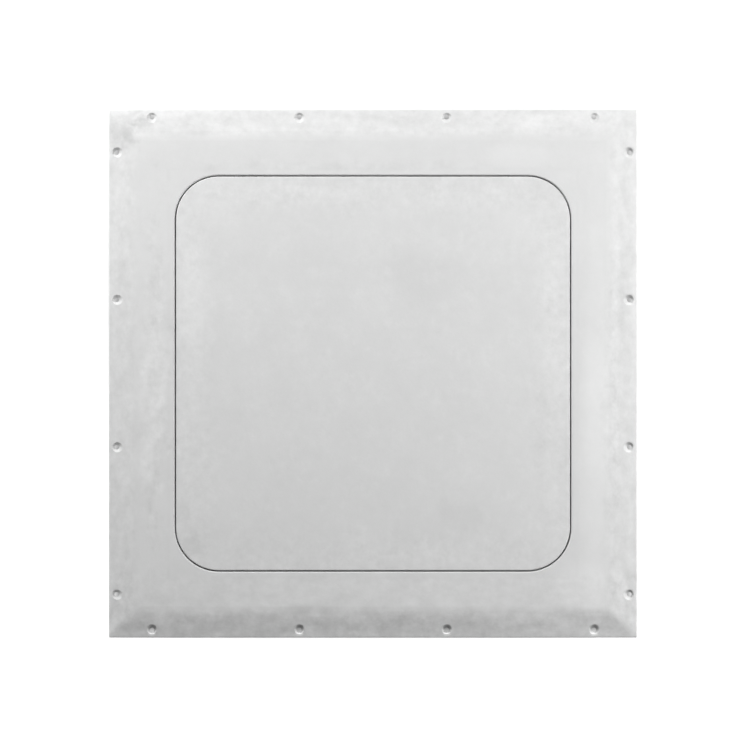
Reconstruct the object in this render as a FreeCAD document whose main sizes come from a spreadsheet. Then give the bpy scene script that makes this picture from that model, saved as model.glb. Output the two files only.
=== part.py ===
import FreeCAD, Part
import math
import os
import Sketcher
from FreeCAD import Rotation, Vector

# Flush deck hatch: a moulded frame, a lift-out lid plate on two concealed gooseneck hinges, and
# two dogs turned by hand from below. Millimetres. The origin is the centre of the opening on the
# plane of the deck, +Z points out of the deck and +Y points at the hinges.

doc = FreeCAD.newDocument("deck_hatch")
sheet = doc.addObject("Spreadsheet::Sheet", "dims")

# Driving dimensions: alias, value in mm or degrees, meaning.
DIMENSIONS = [
    ("frame_half", 305.0, "half of the frame's outside width"),
    ("bevel_width", 31.0, "width of the sloped border"),
    ("edge_height", 3.5, "height of the border's outer edge"),
    ("land_height", 9.5, "height of the flat land and of the lid above the deck"),
    ("edge_round", 2.0, "rounding of the border's outer edge"),
    ("crease_round", 60.0, "rounding where the border meets the land"),
    ("mitre_round", 22.0, "rounding of the mitres at the border's corners"),
    ("land_thick", 4.5, "thickness of the land"),
    ("rebate_half", 228.6, "half of the opening at the top: 18 in clear"),
    ("rebate_round", 51.0, "corner radius of the opening at the top"),
    ("lid_gap", 1.6, "gap round the lid"),
    ("lip_round", 1.2, "rounding of both edges of the gap"),
    ("draft", 8.0, "draft of the lid's edge and of the rebate, degrees"),
    ("lid_depth", 8.0, "depth of the lid's edge"),
    ("skin_thick", 4.0, "thickness of the lid's skin"),
    ("lid_lip", 3.0, "thickness of the lid's turned-down lip at its foot"),
    ("tray_half", 198.0, "half width of the tray under the lid"),
    ("tray_wall", 3.0, "wall of the tray"),
    ("tray_floor", -10.0, "underside of the tray"),
    ("gutter_wall", 4.0, "wall of the gutter"),
    ("gutter_floor", -22.0, "floor of the gutter"),
    ("gutter_base", -26.0, "underside of the gutter and of the skirt"),
    ("coaming_half", 202.0, "half of the clear opening inside the coaming"),
    ("coaming_thick", 5.0, "thickness of the coaming"),
    ("coaming_top", -6.0, "top of the coaming"),
    ("skirt_half", 277.5, "half width over the skirt"),
    ("skirt_wall", 4.0, "wall of the skirt"),
    ("skirt_round", 12.0, "corner radius of the skirt"),
    ("rib_pitch", 95.0, "spacing of the ribs under the land"),
    ("rib_thick", 4.0, "thickness of a rib"),
    ("rib_foot", -20.0, "lower edge of a rib"),
    ("hole_inset", 9.0, "fixing holes, in from the outer edge"),
    ("hole_near", 85.0, "inner fixing holes, from the centre line"),
    ("hole_far", 255.0, "outer fixing holes, from the centre line"),
    ("hole_bore", 5.5, "fixing hole"),
    ("hole_sink", 11.5, "countersink of a fixing hole"),
    ("hole_rise", 6.0, "start of the countersink's cone above the slope"),
    ("hinge_x", 140.0, "hinge, from the centre line"),
    ("axis_y", 260.0, "hinge axis, towards the hinge side"),
    ("axis_z", -2.0, "hinge axis, height"),
    ("pocket_half", 18.0, "half width inside a hinge pocket"),
    ("pocket_wall", 4.0, "side wall of a hinge pocket"),
    ("pocket_near", 213.0, "hinge pocket, inner end"),
    ("pocket_far", 271.5, "hinge pocket, outer end"),
    ("pocket_floor", -50.0, "floor of a hinge pocket"),
    ("pocket_base", -54.0, "underside of a hinge pocket"),
    ("seal_wall", 1.5, "legs of the seal"),
    ("seal_foot", -12.0, "lower edge of the seal's legs"),
    ("seal_top", 1.2, "top of the seal's bulb"),
    ("seal_round", 3.4, "rounding of the bulb"),
    ("arm_thick", 7.6, "thickness of a hinge arm"),
    ("arm_inner", 36.0, "gooseneck, inner radius"),
    ("arm_outer", 43.0, "gooseneck, outer radius"),
    ("knuckle", 6.2, "radius of the hinge knuckle"),
    ("pivot_bore", 6.2, "bore of the hinge arm"),
    ("pivot_shank", 6.0, "diameter of the pivot bolt"),
    ("leaf_near", 210.0, "hinge leaf, inner edge"),
    ("leaf_far", 224.5, "hinge leaf, outer edge"),
    ("leaf_half", 22.5, "half length of the hinge leaf"),
    ("leaf_thick", 4.0, "thickness of the hinge leaf"),
    ("leaf_screw", 14.0, "leaf screws, from the arm"),
    ("cheek_in", 5.5, "bracket cheek, inner face from the arm's centre"),
    ("cheek_out", 8.5, "bracket cheek, outer face from the arm's centre"),
    ("plate_thick", 3.5, "base plate of a hinge bracket"),
    ("plate_half", 15.0, "half width of the base plate"),
    ("plate_foot", -34.0, "lower edge of the base plate"),
    ("plate_top", 4.2, "upper edge of the base plate"),
    ("bracket_screw_x", 10.5, "bracket screws, from the arm's centre"),
    ("bracket_screw_z", -24.0, "bracket screws, height"),
    ("screw_shank", 4.0, "shank of the small screws"),
    ("small_round", 0.8, "rounding of the pieces under the lid"),
    ("dog_x", 120.0, "dog, from the centre line"),
    ("dog_y", -165.0, "dog, from the opening's centre"),
    ("shaft", 12.0, "diameter of a dog's spindle"),
    ("shaft_bore", 12.2, "bore of a dog's housing"),
    ("square", 8.4, "square of the spindle"),
    ("boss_foot", -22.0, "lower face of a dog's housing"),
    ("blade_top", -29.4, "upper face of a dog's blade"),
    ("blade_base", -34.4, "lower face of a dog's blade"),
    ("blade_reach", 49.0, "reach of a dog's blade"),
    ("grip_base", -46.0, "lower face of the grip's hub"),
    ("grip_reach", 95.0, "reach of a dog's grip"),
    ("keeper_base", -29.0, "lower face of a keeper"),
    ("drain_y", 240.0, "drain tail, towards the hinge side"),
    ("drain_z", -40.0, "drain tail, height"),
    ("drain_radius", 6.5, "outside radius of a drain tail"),
    ("drain_thread", 7.5, "outside radius of its threaded part"),
    ("drain_bore", 4.5, "inside radius of a drain tail"),
    ("drain_screwed", 10.5, "length of the threaded part"),
    ("drain_length", 22.0, "length of the hose tail"),
]


class Size:
    """A number together with the sheet expression that gives it."""

    def __init__(self, number, text):
        self.number = number
        self.text = text

    def __float__(self):
        return self.number

    def __neg__(self):
        return Size(-self.number, "(0 - %s)" % self.text)

    def __add__(self, other):
        return Size(self.number + float(other), "(%s + %s)" % (self.text, text_of(other)))

    def __sub__(self, other):
        return Size(self.number - float(other), "(%s - %s)" % (self.text, text_of(other)))

    def __mul__(self, other):
        return Size(self.number * float(other), "(%s * %s)" % (self.text, text_of(other)))

    def __truediv__(self, other):
        return Size(self.number / float(other), "(%s / %s)" % (self.text, text_of(other)))

    def __radd__(self, other):
        return self + other

    def __rsub__(self, other):
        return -self + other

    def __rmul__(self, other):
        return self * other


def text_of(value):
    """The expression of a size, or of a plain number."""
    if isinstance(value, Size):
        return value.text
    return "(%.6f)" % value


def mm(value):
    """A plain length, for sizes that nothing else shares."""
    return Size(float(value), "%g" % value)


def tangent(angle):
    """Tangent of an angle kept in the sheet in degrees."""
    return Size(math.tan(math.radians(float(angle))), "tan(%s * 1 deg)" % angle.text)


class Dimensions:
    """The sheet's cells, each one an attribute of the same name."""

    def __init__(self, rows):
        for number, (alias, value, meaning) in enumerate(rows, start=1):
            sheet.set("A%d" % number, alias)
            sheet.set("B%d" % number, str(value))
            sheet.setAlias("B%d" % number, alias)
            sheet.set("C%d" % number, meaning)
            setattr(self, alias, Size(value, "dims." + alias))


d = Dimensions(DIMENSIONS)
doc.recompute()

NODES = []
SIDES = (("left", -1.0), ("right", 1.0))


# ---------------------------------------------------------------- document helpers

def bind(target, path, value):
    """Bind a property to the sheet."""
    target.setExpression(path, text_of(value))


def keep(target, label):
    """Name a finished sub-part."""
    target.Label = label
    NODES.append(target)
    return target


def place(target, x, y, z):
    """Put a finished sub-part at a point, with its position bound to the sheet."""
    bind(target, "Placement.Base.x", x)
    bind(target, "Placement.Base.y", y)
    bind(target, "Placement.Base.z", z)


def new_body(label):
    body = doc.addObject("PartDesign::Body", label)
    return keep(body, label)


def new_sketch(body, name, role="XY_Plane", offset=0.0):
    """A sketch on one of the body's own origin planes, moved along the plane's normal."""
    sketch = body.newObject("Sketcher::SketchObject", body.Name + "_" + name)
    plane = [feature for feature in body.Origin.OriginFeatures if feature.Role == role][0]
    sketch.AttachmentSupport = [(plane, "")]
    sketch.MapMode = "FlatFace"
    bind(sketch, "AttachmentOffset.Base.z", offset)
    return sketch


def fix(sketch, kind, geometry, point, value):
    """Bind one coordinate of a point, or a radius, to the sheet."""
    if kind == "Radius":
        index = sketch.addConstraint(Sketcher.Constraint("Radius", geometry, float(value)))
    else:
        index = sketch.addConstraint(
            Sketcher.Constraint(kind, -1, 1, geometry, point, float(value)))
    bind(sketch, "Constraints[%d]" % index, value)


def draw_circle(sketch, x, y, radius):
    circle = sketch.addGeometry(
        Part.Circle(Vector(float(x), float(y), 0), Vector(0, 0, 1), float(radius)), False)
    fix(sketch, "DistanceX", circle, 3, x)
    fix(sketch, "DistanceY", circle, 3, y)
    fix(sketch, "Radius", circle, 0, radius)
    return circle


def corner_ends(before, corner, after, radius):
    """Where a rounding touches the two sides of a corner, its centre, and which way it turns."""
    to_before = (before - corner).normalize()
    to_after = (after - corner).normalize()
    half_angle = to_before.getAngle(to_after) / 2
    along = radius / math.tan(half_angle)
    start = corner + to_before * along
    end = corner + to_after * along
    centre = corner + (to_before + to_after).normalize() * (radius / math.sin(half_angle))
    turns_left = (corner - before).cross(after - corner).z > 0
    return start, end, centre, turns_left


def draw_outline(sketch, points):
    """A closed outline through corners (x, y) or (x, y, rounding), all bound to the sheet."""
    count = len(points)
    corners = [Vector(float(point[0]), float(point[1]), 0) for point in points]
    ends = []
    for index, point in enumerate(points):
        radius = float(point[2]) if len(point) == 3 else 0.0
        if radius:
            ends.append(corner_ends(corners[index - 1], corners[index],
                                    corners[(index + 1) % count], radius))
        else:
            ends.append((corners[index], corners[index], None, True))
    lines = []
    for index in range(count):
        line = Part.LineSegment(ends[index][1], ends[(index + 1) % count][0])
        lines.append(sketch.addGeometry(line, False))
    for index, point in enumerate(points):
        join_corner(sketch, lines[index - 1], lines[index], point, ends[index])


def join_corner(sketch, line_in, line_out, point, ends):
    """Constrain one corner of an outline, sharp or rounded."""
    start, end, centre, turns_left = ends
    if centre is None:
        sketch.addConstraint(Sketcher.Constraint("Coincident", line_in, 2, line_out, 1))
        fix(sketch, "DistanceX", line_out, 1, point[0])
        fix(sketch, "DistanceY", line_out, 1, point[1])
        return
    first, last = (start, end) if turns_left else (end, start)
    circle = Part.Circle(centre, Vector(0, 0, 1), float(point[2]))
    angles = [math.atan2(each.y - centre.y, each.x - centre.x) for each in (first, last)]
    if angles[1] < angles[0]:
        angles[1] += 2 * math.pi
    arc = sketch.addGeometry(Part.ArcOfCircle(circle, angles[0], angles[1]), False)
    entry, leave = (1, 2) if turns_left else (2, 1)
    sketch.addConstraint(Sketcher.Constraint("Tangent", line_in, 2, arc, entry))
    sketch.addConstraint(Sketcher.Constraint("Tangent", arc, leave, line_out, 1))
    apex = sketch.addGeometry(Part.Point(Vector(float(point[0]), float(point[1]), 0)), True)
    fix(sketch, "DistanceX", apex, 1, point[0])
    fix(sketch, "DistanceY", apex, 1, point[1])
    sketch.addConstraint(Sketcher.Constraint("PointOnObject", apex, 1, line_in))
    sketch.addConstraint(Sketcher.Constraint("PointOnObject", apex, 1, line_out))
    fix(sketch, "Radius", arc, 0, point[2])


def draw_box(sketch, x0, x1, y0, y1, rounding=0.0):
    if float(rounding):
        draw_outline(sketch, [(x0, y0, rounding), (x1, y0, rounding),
                              (x1, y1, rounding), (x0, y1, rounding)])
    else:
        draw_outline(sketch, [(x0, y0), (x1, y0), (x1, y1), (x0, y1)])


def draw_square(sketch, half, rounding=0.0):
    """A square about the sketch's origin."""
    draw_box(sketch, -half, half, -half, half, rounding)


def draw_sector(sketch, x, y, inner, outer):
    """A quarter ring about a point, from its left-hand side down to straight below it."""
    centre = Vector(float(x), float(y), 0)
    arcs = []
    for radius in (inner, outer):
        circle = Part.Circle(centre, Vector(0, 0, 1), float(radius))
        arcs.append(sketch.addGeometry(Part.ArcOfCircle(circle, math.pi, 1.5 * math.pi), False))
        fix(sketch, "Radius", arcs[-1], 0, radius)
        fix(sketch, "DistanceX", arcs[-1], 3, x)
        fix(sketch, "DistanceY", arcs[-1], 3, y)
    for point, kind, value, direction in ((1, "DistanceY", y, Vector(-1, 0, 0)),
                                          (2, "DistanceX", x, Vector(0, -1, 0))):
        line = sketch.addGeometry(Part.LineSegment(centre + direction * float(inner),
                                                   centre + direction * float(outer)), False)
        sketch.addConstraint(Sketcher.Constraint("Coincident", line, 1, arcs[0], point))
        sketch.addConstraint(Sketcher.Constraint("Coincident", line, 2, arcs[1], point))
        fix(sketch, kind, line, 1, value)
        fix(sketch, kind, line, 2, value)


def add_feature(body, kind, sketch, length, reverse=False, both=False, taper=None):
    """A Pad or Pocket of a sketch, bound to the sheet."""
    feature = body.newObject("PartDesign::" + kind, sketch.Name + "_" + kind.lower())
    feature.Profile = sketch
    bind(feature, "Length", length)
    feature.Reversed = reverse
    if both:
        feature.SideType = "Symmetric"
    if taper is not None:
        bind(feature, "TaperAngle", taper)
    return feature


def pad(body, sketch, length, **options):
    feature = add_feature(body, "Pad", sketch, length, **options)
    doc.recompute()
    return feature


def pocket(body, sketch, length, **options):
    """A Pocket that has to remove something."""
    doc.recompute()
    before = body.Shape.Volume
    feature = add_feature(body, "Pocket", sketch, length, **options)
    doc.recompute()
    if body.Shape.Volume > before - 0.5:
        raise RuntimeError("%s removes nothing" % feature.Name)
    return feature


def turn(body, points):
    """A solid of revolution about the body's own Z axis, from (radius, height) corners."""
    sketch = new_sketch(body, "section", "XZ_Plane")
    draw_outline(sketch, points)
    feature = body.newObject("PartDesign::Revolution", body.Name + "_turned")
    feature.Profile = sketch
    feature.ReferenceAxis = (sketch, ["V_Axis"])
    feature.Angle = 360.0
    doc.recompute()
    return feature


def edges_where(shape, test):
    """Names of the edges whose bounding boxes pass a test."""
    return ["Edge%d" % number for number, edge in enumerate(shape.Edges, start=1)
            if test(edge.BoundBox)]


def fillet(body, radius, test):
    """Round the edges that pass a test."""
    base = body.Tip
    names = edges_where(base.Shape, test)
    if not names:
        raise RuntimeError("no edges to round on %s" % body.Name)
    feature = body.newObject("PartDesign::Fillet", body.Name + "_round")
    feature.Base = (base, names)
    bind(feature, "Radius", radius)
    doc.recompute()
    return feature


def near(value, target, tolerance=0.02):
    return abs(value - float(target)) < tolerance


def level_at(height):
    """Test for edges that lie flat at one height."""
    return lambda box: near(box.ZMin, height) and near(box.ZMax, height)


def lay_along_x(target, towards=1.0):
    """Turn a piece made about Z so that its own +Z runs along X."""
    target.Placement = FreeCAD.Placement(Vector(), Rotation(Vector(0, 1, 0), 90.0 * towards))


def lay_along_y(target):
    """Turn a piece made about Z so that its own +Z runs along +Y."""
    target.Placement = FreeCAD.Placement(Vector(), Rotation(Vector(1, 0, 0), -90.0))


def ring_corner(half):
    """Corner radius that keeps an outline parallel to the opening's."""
    return d.rebate_round - (d.rebate_half - half)


# ---------------------------------------------------------------- frame

def cross_section(body, name, role):
    """The frame's upper outline from side to side, soft at its creases."""
    sketch = new_sketch(body, name, role)
    crease = d.frame_half - d.bevel_width
    draw_outline(sketch, [
        (-d.frame_half, mm(0)),
        (d.frame_half, mm(0)),
        (d.frame_half, d.edge_height),
        (crease, d.land_height, d.crease_round),
        (-crease, d.land_height, d.crease_round),
        (-d.frame_half, d.edge_height),
    ])
    return sketch


def above_section(body, name, role):
    """Everything above the same outline, for shaping the other two borders."""
    sketch = new_sketch(body, name, role)
    crease = d.frame_half - d.bevel_width
    outside = d.frame_half + 5.0
    top = d.land_height + 5.0
    draw_outline(sketch, [
        (d.frame_half, mm(0)),
        (outside, mm(0)),
        (outside, top),
        (-outside, top),
        (-outside, mm(0)),
        (-d.frame_half, mm(0)),
        (-d.frame_half, d.edge_height),
        (-crease, d.land_height, d.crease_round),
        (crease, d.land_height, d.crease_round),
        (d.frame_half, d.edge_height),
    ])
    return sketch


def soften_border(body):
    """Round the mitres, where two slopes meet, and then the frame's outer edge."""
    fillet(body, d.mitre_round,
           lambda box: box.XLength > 5 and box.YLength > 5 and box.ZLength > 0.5)
    fillet(body, d.edge_round, lambda box: near(box.ZMax, d.edge_height) and box.ZMin > 1.0)


def fixing_points():
    """Centres of the sixteen fixing holes, four along each side."""
    line = d.frame_half - d.hole_inset
    for along in (-d.hole_far, -d.hole_near, d.hole_near, d.hole_far):
        for across in (-line, line):
            yield along, across
            yield across, along


def frame_pocket_box(body, name, half, near_end, far_end, offset):
    """One outline for each hinge pocket, mirrored left and right."""
    sketch = new_sketch(body, name, offset=offset)
    for side, sign in SIDES:
        middle = d.hinge_x * sign
        draw_box(sketch, middle - half, middle + half, near_end, far_end)
    return sketch


def make_frame():
    body = new_body("frame")
    gutter_half = d.rebate_half - d.lid_depth * tangent(d.draft)

    pad(body, cross_section(body, "section", "YZ_Plane"), d.frame_half * 2, both=True)
    pocket(body, above_section(body, "borders", "XZ_Plane"), d.frame_half * 2 + 20, both=True)
    soften_border(body)

    sketch = new_sketch(body, "block")
    draw_square(sketch, d.skirt_half, d.skirt_round)
    pad(body, sketch, -d.gutter_base, reverse=True)

    sketch = frame_pocket_box(body, "hinge_blocks", d.pocket_half + d.pocket_wall,
                              d.pocket_near - d.pocket_wall, d.skirt_half, 0.0)
    pad(body, sketch, -d.pocket_base, reverse=True)

    # Hollow under the land, between the gutter and the skirt.
    sketch = new_sketch(body, "hollow", offset=d.gutter_base)
    draw_square(sketch, d.skirt_half - d.skirt_wall, d.skirt_round - d.skirt_wall)
    draw_square(sketch, gutter_half + d.gutter_wall, ring_corner(gutter_half + d.gutter_wall))
    pocket(body, sketch, d.land_height - d.land_thick - d.gutter_base, reverse=True)

    # The hinge blocks again, where that hollow went through them.
    land_underside = d.land_height - d.land_thick
    sketch = frame_pocket_box(body, "hinge_walls", d.pocket_half + d.pocket_wall,
                              gutter_half, d.skirt_half, land_underside)
    pad(body, sketch, land_underside - d.pocket_base, reverse=True)

    add_ribs(body, gutter_half, land_underside)

    # Rebate for the lid, drafted like the lid's edge.
    sketch = new_sketch(body, "rebate", offset=d.land_height - d.lid_depth)
    draw_square(sketch, gutter_half, ring_corner(gutter_half))
    pocket(body, sketch, d.lid_depth + 1.0, reverse=True, taper=d.draft)

    sketch = new_sketch(body, "mouth", offset=d.coaming_top)
    draw_square(sketch, gutter_half, ring_corner(gutter_half))
    pocket(body, sketch, d.land_height - d.lid_depth - d.coaming_top, reverse=True)

    sketch = new_sketch(body, "gutter", offset=d.gutter_floor)
    draw_square(sketch, gutter_half, ring_corner(gutter_half))
    outer = d.coaming_half + d.coaming_thick
    draw_square(sketch, outer, ring_corner(outer))
    pocket(body, sketch, d.coaming_top - d.gutter_floor, reverse=True)

    sketch = new_sketch(body, "opening", offset=d.gutter_base - 1.0)
    draw_square(sketch, d.coaming_half, ring_corner(d.coaming_half))
    pocket(body, sketch, d.coaming_top - d.gutter_base + 2.0, reverse=True)

    # Hinge pockets, open to the gutter.
    sketch = frame_pocket_box(body, "hinge_pockets", d.pocket_half, d.pocket_near,
                              d.pocket_far, d.pocket_floor)
    pocket(body, sketch, land_underside - d.pocket_floor, reverse=True)

    fillet(body, d.lip_round,
           lambda box: level_at(d.land_height)(box) and box.XMax < 229 and box.XMin > -229
           and box.YMax < 229 and box.YMin > -229)
    add_fixing_holes(body)
    add_screw_holes(body)
    return body


def add_ribs(body, gutter_half, land_underside):
    """Ribs across the hollow, five on each side."""
    inner = gutter_half + d.gutter_wall - 1.0
    outer = d.skirt_half - d.skirt_wall + 1.0
    sketch = new_sketch(body, "ribs", offset=land_underside)
    for step in (-2, -1, 0, 1, 2):
        low = d.rib_pitch * step - d.rib_thick / 2
        high = d.rib_pitch * step + d.rib_thick / 2
        draw_box(sketch, low, high, inner, outer)
        draw_box(sketch, low, high, -outer, -inner)
        draw_box(sketch, inner, outer, low, high)
        draw_box(sketch, -outer, -inner, low, high)
    pad(body, sketch, land_underside - d.rib_foot, reverse=True)


def add_fixing_holes(body):
    """Countersunk holes through the sloped border, sunk square to the deck."""
    slope = (d.land_height - d.edge_height) / d.bevel_width
    surface = d.edge_height + slope * d.hole_inset
    sketch = new_sketch(body, "fixings", offset=surface + d.hole_rise)
    for x, y in fixing_points():
        draw_circle(sketch, x, y, d.hole_bore / 2)
    doc.recompute()
    before = body.Shape.Volume
    hole = body.newObject("PartDesign::Hole", "frame_fixing_holes")
    hole.Profile = sketch
    doc.recompute()
    hole.ThreadType = "None"
    hole.DepthType = "ThroughAll"
    bind(hole, "Diameter", d.hole_bore)
    hole.HoleCutType = "Countersink"
    hole.HoleCutCustomValues = True
    hole.HoleCutCountersinkAngle = 90.0
    bind(hole, "HoleCutDiameter", d.hole_sink + d.hole_rise * 2)
    doc.recompute()
    if body.Shape.Volume > before - 0.5:
        raise RuntimeError("the fixing holes remove nothing")


def add_screw_holes(body):
    """Bores for the keeper screws, the bracket screws and the drain tails."""
    sketch = new_sketch(body, "keeper_bores", offset=d.gutter_base - 0.5)
    for x, y in keeper_screw_points():
        draw_circle(sketch, x, y, d.screw_shank / 2)
    pocket(body, sketch, 4.0, reverse=True)

    sketch = new_sketch(body, "bracket_bores", "XZ_Plane", offset=-d.pocket_far)
    for side, sign in SIDES:
        for offset in (-d.bracket_screw_x, d.bracket_screw_x):
            draw_circle(sketch, d.hinge_x * sign + offset, d.bracket_screw_z, d.screw_shank / 2)
    pocket(body, sketch, mm(5), reverse=False)

    for side, sign in SIDES:
        inside = (d.hinge_x + d.pocket_half - 1.0) * sign
        sketch = new_sketch(body, "drain_bore_" + side, "YZ_Plane", offset=inside)
        draw_circle(sketch, d.drain_y, d.drain_z, d.drain_thread)
        pocket(body, sketch, d.pocket_wall + 2.0, reverse=sign > 0)


def keeper_screw_points():
    for side, sign in SIDES:
        for offset in (-14.0, 14.0):
            yield d.dog_x * sign + offset, -(d.coaming_half + 7.0)


# ---------------------------------------------------------------- pieces fixed to the frame

def make_seal():
    """Push-on edge seal: two legs either side of the coaming and a bulb on top of it."""
    body = new_body("coaming_seal")
    inner = d.coaming_half - d.seal_wall
    outer = d.coaming_half + d.coaming_thick + d.seal_wall
    sketch = new_sketch(body, "block", offset=d.seal_foot)
    draw_square(sketch, outer, ring_corner(outer))
    draw_square(sketch, inner, ring_corner(inner))
    pad(body, sketch, d.seal_top - d.seal_foot)
    sketch = new_sketch(body, "slot", offset=d.seal_foot)
    draw_square(sketch, d.coaming_half + d.coaming_thick,
                ring_corner(d.coaming_half + d.coaming_thick))
    draw_square(sketch, d.coaming_half, ring_corner(d.coaming_half))
    pocket(body, sketch, d.coaming_top - d.seal_foot, reverse=True)
    fillet(body, d.seal_round, level_at(d.seal_top))


def make_bracket(label, middle):
    """Hinge bracket: a base plate on the pocket's outer wall with two cheeks."""
    body = new_body(label)
    sketch = new_sketch(body, "plate", "XZ_Plane", offset=-d.pocket_far)
    draw_box(sketch, -d.plate_half, d.plate_half, d.plate_foot, d.plate_top, mm(3))
    pad(body, sketch, d.plate_thick)
    for sign in (-1.0, 1.0):
        start = d.cheek_in if sign > 0 else -d.cheek_out
        sketch = new_sketch(body, "cheek", "YZ_Plane", offset=start)
        wall = d.pocket_far - d.plate_thick / 2
        draw_outline(sketch, [
            (d.axis_y - d.knuckle, d.axis_z + d.knuckle, d.knuckle * 0.99),
            (d.axis_y - d.knuckle, d.axis_z - d.knuckle, d.knuckle * 0.99),
            (wall, d.axis_z - d.knuckle - 8.0),
            (wall, d.axis_z + d.knuckle),
        ])
        pad(body, sketch, d.cheek_out - d.cheek_in)
    sketch = new_sketch(body, "pivot", "YZ_Plane")
    draw_circle(sketch, d.axis_y, d.axis_z, d.pivot_shank / 2)
    pocket(body, sketch, d.cheek_out * 2 + 2, both=True)
    sketch = new_sketch(body, "bores", "XZ_Plane", offset=-(d.pocket_far + 1.0))
    for offset in (-d.bracket_screw_x, d.bracket_screw_x):
        draw_circle(sketch, offset, d.bracket_screw_z, d.screw_shank / 2)
    pocket(body, sketch, d.plate_thick + 2, reverse=True)
    place(body, middle, 0.0, 0.0)


def make_pan_screw(label, length):
    """Pan-head screw along +Z with its head below Z = 0."""
    body = new_body(label)
    shank = d.screw_shank / 2
    turn(body, [
        (mm(0), mm(-2.2)),
        (mm(3.6), mm(-2.2), mm(1)),
        (mm(3.6), mm(0)),
        (shank, mm(0)),
        (shank, mm(length - 0.6)),
        (shank - 0.6, mm(length)),
        (mm(0), mm(length)),
    ])
    drive = new_sketch(body, "drive", offset=mm(-2.2))
    hexagon = [(math.cos(math.radians(60 * k)) * 1.5, math.sin(math.radians(60 * k)) * 1.5)
               for k in range(6)]
    draw_outline(drive, hexagon)
    pocket(body, drive, mm(1.3), reverse=True)
    return body


def make_flat_screw(label, length):
    """Countersunk screw along +Z with the flat of its head at Z = 0."""
    body = new_body(label)
    shank = d.screw_shank / 2
    turn(body, [
        (mm(0), mm(0)),
        (shank + 1.8, mm(0)),
        (shank, mm(1.8)),
        (shank, mm(length - 0.6)),
        (shank - 0.6, mm(length)),
        (mm(0), mm(length)),
    ])
    drive = new_sketch(body, "drive")
    hexagon = [(math.cos(math.radians(60 * k)) * 1.4, math.sin(math.radians(60 * k)) * 1.4)
               for k in range(6)]
    draw_outline(drive, hexagon)
    pocket(body, drive, mm(1.2), reverse=True)
    return body


def make_washer(label, inner, outer, thick):
    """Flat washer from Z = 0 up."""
    body = new_body(label)
    sketch = new_sketch(body, "ring")
    draw_circle(sketch, 0.0, 0.0, outer)
    draw_circle(sketch, 0.0, 0.0, inner)
    pad(body, sketch, thick)
    return body


def make_hex_nut(label, bore, across, thick):
    """Hexagon nut from Z = 0 up, with its corners turned off."""
    body = new_body(label)
    sketch = new_sketch(body, "hexagon")
    corner = across / math.sqrt(3.0)
    draw_outline(sketch, [(corner * math.cos(math.radians(60 * k)),
                           corner * math.sin(math.radians(60 * k))) for k in range(6)])
    draw_circle(sketch, 0.0, 0.0, bore)
    pad(body, sketch, thick)
    return body


def make_pivot(side, middle):
    """Pivot bolt through the bracket and arm, with the friction stack on it."""
    bolt = new_body("pivot_bolt_" + side)
    shank = d.pivot_shank / 2
    turn(bolt, [
        (mm(0), -(d.cheek_out + 3.8)),
        (mm(5), -(d.cheek_out + 3.8), mm(1.2)),
        (mm(5), -d.cheek_out),
        (shank, -d.cheek_out),
        (shank, d.cheek_out + 7.4),
        (shank - 0.6, d.cheek_out + 8.0),
        (mm(0), d.cheek_out + 8.0),
    ])
    lay_along_x(bolt)
    place(bolt, middle, d.axis_y, d.axis_z)

    for name, start in (("inner", -d.cheek_in), ("outer", d.arm_thick / 2 + 0.2)):
        washer = make_washer("friction_washer_%s_%s" % (side, name), shank, d.knuckle,
                             d.cheek_in - d.arm_thick / 2 - 0.2)
        lay_along_x(washer)
        place(washer, middle + start, d.axis_y, d.axis_z)

    spring = new_body("disc_spring_" + side)
    turn(spring, [
        (shank, mm(1.2)),
        (mm(6.5), mm(0)),
        (mm(6.5), mm(0.9)),
        (shank, mm(2.1)),
    ])
    lay_along_x(spring)
    place(spring, middle + d.cheek_out, d.axis_y, d.axis_z)

    nut = make_hex_nut("lock_nut_" + side, shank, 10.0, mm(5))
    lay_along_x(nut)
    place(nut, middle + d.cheek_out + 2.1, d.axis_y, d.axis_z)


def make_bracket_screws(side, middle):
    for name, offset in (("a", -d.bracket_screw_x), ("b", d.bracket_screw_x)):
        screw = make_pan_screw("bracket_screw_%s_%s" % (side, name), 7.8)
        lay_along_y(screw)
        place(screw, middle + offset, d.pocket_far - d.plate_thick, d.bracket_screw_z)


def make_keeper(side, sign):
    """Keeper plate under the gutter's floor, on two flush screws."""
    body = new_body("keeper_" + side)
    sketch = new_sketch(body, "plate", offset=d.keeper_base)
    draw_box(sketch, d.dog_x * sign - 20, d.dog_x * sign + 20,
             -(d.coaming_half + 14.0), -d.coaming_half, mm(3))
    pad(body, sketch, d.gutter_base - d.keeper_base)
    fillet(body, d.small_round, level_at(d.keeper_base))
    sketch = new_sketch(body, "bores", offset=d.keeper_base)
    points = [point for point in keeper_screw_points() if float(point[0]) * sign > 0]
    for x, y in points:
        draw_circle(sketch, x, y, d.screw_shank / 2)
    doc.recompute()
    hole = body.newObject("PartDesign::Hole", "keeper_holes")
    hole.Profile = sketch
    doc.recompute()
    hole.Reversed = True
    hole.ThreadType = "None"
    hole.DepthType = "ThroughAll"
    bind(hole, "Diameter", d.screw_shank)
    hole.HoleCutType = "Countersink"
    hole.HoleCutCustomValues = True
    hole.HoleCutCountersinkAngle = 90.0
    bind(hole, "HoleCutDiameter", d.screw_shank + 3.6)
    doc.recompute()
    for name, (x, y) in zip("ab", points):
        screw = make_flat_screw("keeper_screw_%s_%s" % (side, name), 6.4)
        place(screw, x, y, d.keeper_base)


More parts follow.
